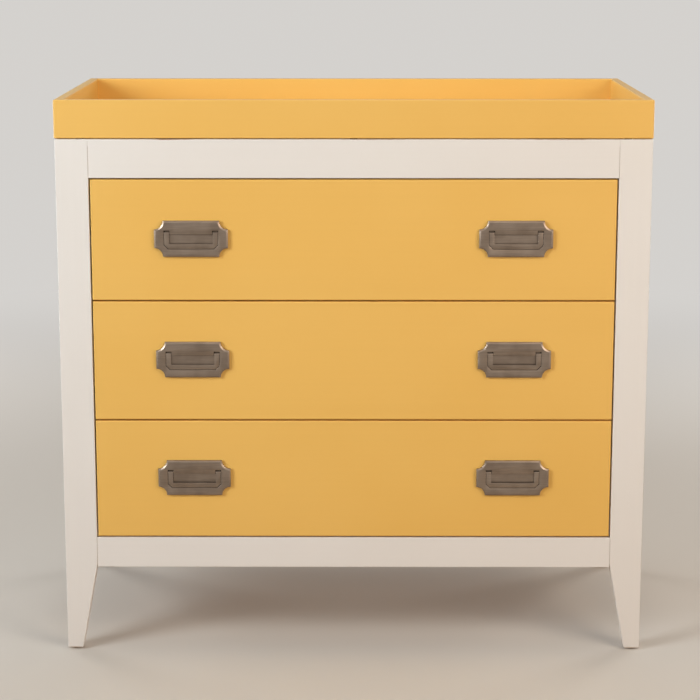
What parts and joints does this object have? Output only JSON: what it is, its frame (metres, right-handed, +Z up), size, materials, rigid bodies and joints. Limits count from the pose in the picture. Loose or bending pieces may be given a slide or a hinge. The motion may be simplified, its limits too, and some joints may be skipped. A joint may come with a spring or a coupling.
{
  "type": "changing table",
  "caption": "Changing table: case on tapered legs with inset drawers on telescopic slides, flush bail pulls and an open lift-off changing tray on top.",
  "frame": {"origin": "on the floor under the middle of the whole table's box", "axes": "+X to the right of someone facing the drawers, +Y towards the back, +Z up"},
  "size_m": [0.952, 0.486, 0.9122],
  "materials": {
    "white_paint": "satin white paint on solid wood and board",
    "yellow_paint": "satin yellow paint on solid wood and board",
    "bare_wood": "clear sealed pale wood",
    "drawer_ply": "clear sealed plywood",
    "back_board": "white faced board",
    "aged_nickel": "aged brushed nickel",
    "zinc_steel": "zinc plated",
    "pale_nylon": "matt",
    "dark_rubber": "matt"
  },
  "bodies": {
    "case": {"front_left_leg": "white_paint", "front_right_leg": "white_paint", "rear_left_leg": "white_paint", "rear_right_leg": "white_paint", "top_front_rail": "white_paint", "bottom_front_rail": "white_paint", "top_rear_rail": "white_paint", "bottom_rear_rail": "white_paint", "left_side_panel": "white_paint", "right_side_panel": "white_paint", "top_panel": "white_paint", "back_panel": "back_board", "back_panel_screws": "zinc_steel", "left_slide_cleats": "bare_wood", "right_slide_cleats": "bare_wood", "left_cabinet_slides": "zinc_steel", "right_cabinet_slides": "zinc_steel", "top_glue_blocks": "bare_wood", "leg_glides": "pale_nylon"},
    "tray": {"tray_front_rail": "yellow_paint", "tray_rear_rail": "yellow_paint", "tray_left_rail": "yellow_paint", "tray_right_rail": "yellow_paint", "tray_floor": "yellow_paint", "tray_pads": "dark_rubber"},
    "bottom_drawer": {"bottom_drawer_front": "yellow_paint", "bottom_drawer_left_side": "bare_wood", "bottom_drawer_right_side": "bare_wood", "bottom_drawer_back": "bare_wood", "bottom_drawer_bottom": "drawer_ply", "bottom_drawer_slides": "zinc_steel", "bottom_pull_plates": "aged_nickel", "bottom_pull_screws": "zinc_steel"},
    "bottom_carriages": {"bottom_slide_carriages": "zinc_steel"},
    "bottom_left_handle": {"bottom_left_bail": "aged_nickel"},
    "bottom_right_handle": {"bottom_right_bail": "aged_nickel"},
    "middle_drawer": {"middle_drawer_front": "yellow_paint", "middle_drawer_left_side": "bare_wood", "middle_drawer_right_side": "bare_wood", "middle_drawer_back": "bare_wood", "middle_drawer_bottom": "drawer_ply", "middle_drawer_slides": "zinc_steel", "middle_pull_plates": "aged_nickel", "middle_pull_screws": "zinc_steel"},
    "middle_carriages": {"middle_slide_carriages": "zinc_steel"},
    "middle_left_handle": {"middle_left_bail": "aged_nickel"},
    "middle_right_handle": {"middle_right_bail": "aged_nickel"},
    "top_drawer": {"top_drawer_front": "yellow_paint", "top_drawer_left_side": "bare_wood", "top_drawer_right_side": "bare_wood", "top_drawer_back": "bare_wood", "top_drawer_bottom": "drawer_ply", "top_drawer_slides": "zinc_steel", "top_pull_plates": "aged_nickel", "top_pull_screws": "zinc_steel"},
    "top_carriages": {"top_slide_carriages": "zinc_steel"},
    "top_left_handle": {"top_left_bail": "aged_nickel"},
    "top_right_handle": {"top_right_bail": "aged_nickel"}
  },
  "joints": [
    {"name": "tray_lift", "type": "slide", "parent": "case", "child": "tray", "axis": [0, 0, 1], "range_m": [0, 0.1]},
    {"name": "bottom_drawer_slide", "type": "slide", "parent": "case", "child": "bottom_drawer", "axis": [0, -1, 0], "range_m": [0, 0.36]},
    {"name": "bottom_carriage_slide", "type": "slide", "parent": "case", "child": "bottom_carriages", "axis": [0, -1, 0], "range_m": [0, 0.18]},
    {"name": "bottom_left_bail_swing", "type": "hinge", "parent": "bottom_drawer", "child": "bottom_left_handle", "pos_m": [-0.26, -0.2411, 0.30615], "axis": [-1, 0, 0], "range_deg": [0, 90]},
    {"name": "bottom_right_bail_swing", "type": "hinge", "parent": "bottom_drawer", "child": "bottom_right_handle", "pos_m": [0.26, -0.2411, 0.30615], "axis": [-1, 0, 0], "range_deg": [0, 90]},
    {"name": "middle_drawer_slide", "type": "slide", "parent": "case", "child": "middle_drawer", "axis": [0, -1, 0], "range_m": [0, 0.36]},
    {"name": "middle_carriage_slide", "type": "slide", "parent": "case", "child": "middle_carriages", "axis": [0, -1, 0], "range_m": [0, 0.18]},
    {"name": "middle_left_bail_swing", "type": "hinge", "parent": "middle_drawer", "child": "middle_left_handle", "pos_m": [-0.26, -0.2411, 0.5034], "axis": [-1, 0, 0], "range_deg": [0, 90]},
    {"name": "middle_right_bail_swing", "type": "hinge", "parent": "middle_drawer", "child": "middle_right_handle", "pos_m": [0.26, -0.2411, 0.5034], "axis": [-1, 0, 0], "range_deg": [0, 90]},
    {"name": "top_drawer_slide", "type": "slide", "parent": "case", "child": "top_drawer", "axis": [0, -1, 0], "range_m": [0, 0.36]},
    {"name": "top_carriage_slide", "type": "slide", "parent": "case", "child": "top_carriages", "axis": [0, -1, 0], "range_m": [0, 0.18]},
    {"name": "top_left_bail_swing", "type": "hinge", "parent": "top_drawer", "child": "top_left_handle", "pos_m": [-0.26, -0.2411, 0.70065], "axis": [-1, 0, 0], "range_deg": [0, 90]},
    {"name": "top_right_bail_swing", "type": "hinge", "parent": "top_drawer", "child": "top_right_handle", "pos_m": [0.26, -0.2411, 0.70065], "axis": [-1, 0, 0], "range_deg": [0, 90]}
  ],
  "couplings": [
    {"joint": "bottom_carriage_slide", "follows": "bottom_drawer_slide", "ratio": 0.5},
    {"joint": "middle_carriage_slide", "follows": "middle_drawer_slide", "ratio": 0.5},
    {"joint": "top_carriage_slide", "follows": "top_drawer_slide", "ratio": 0.5}
  ]
}
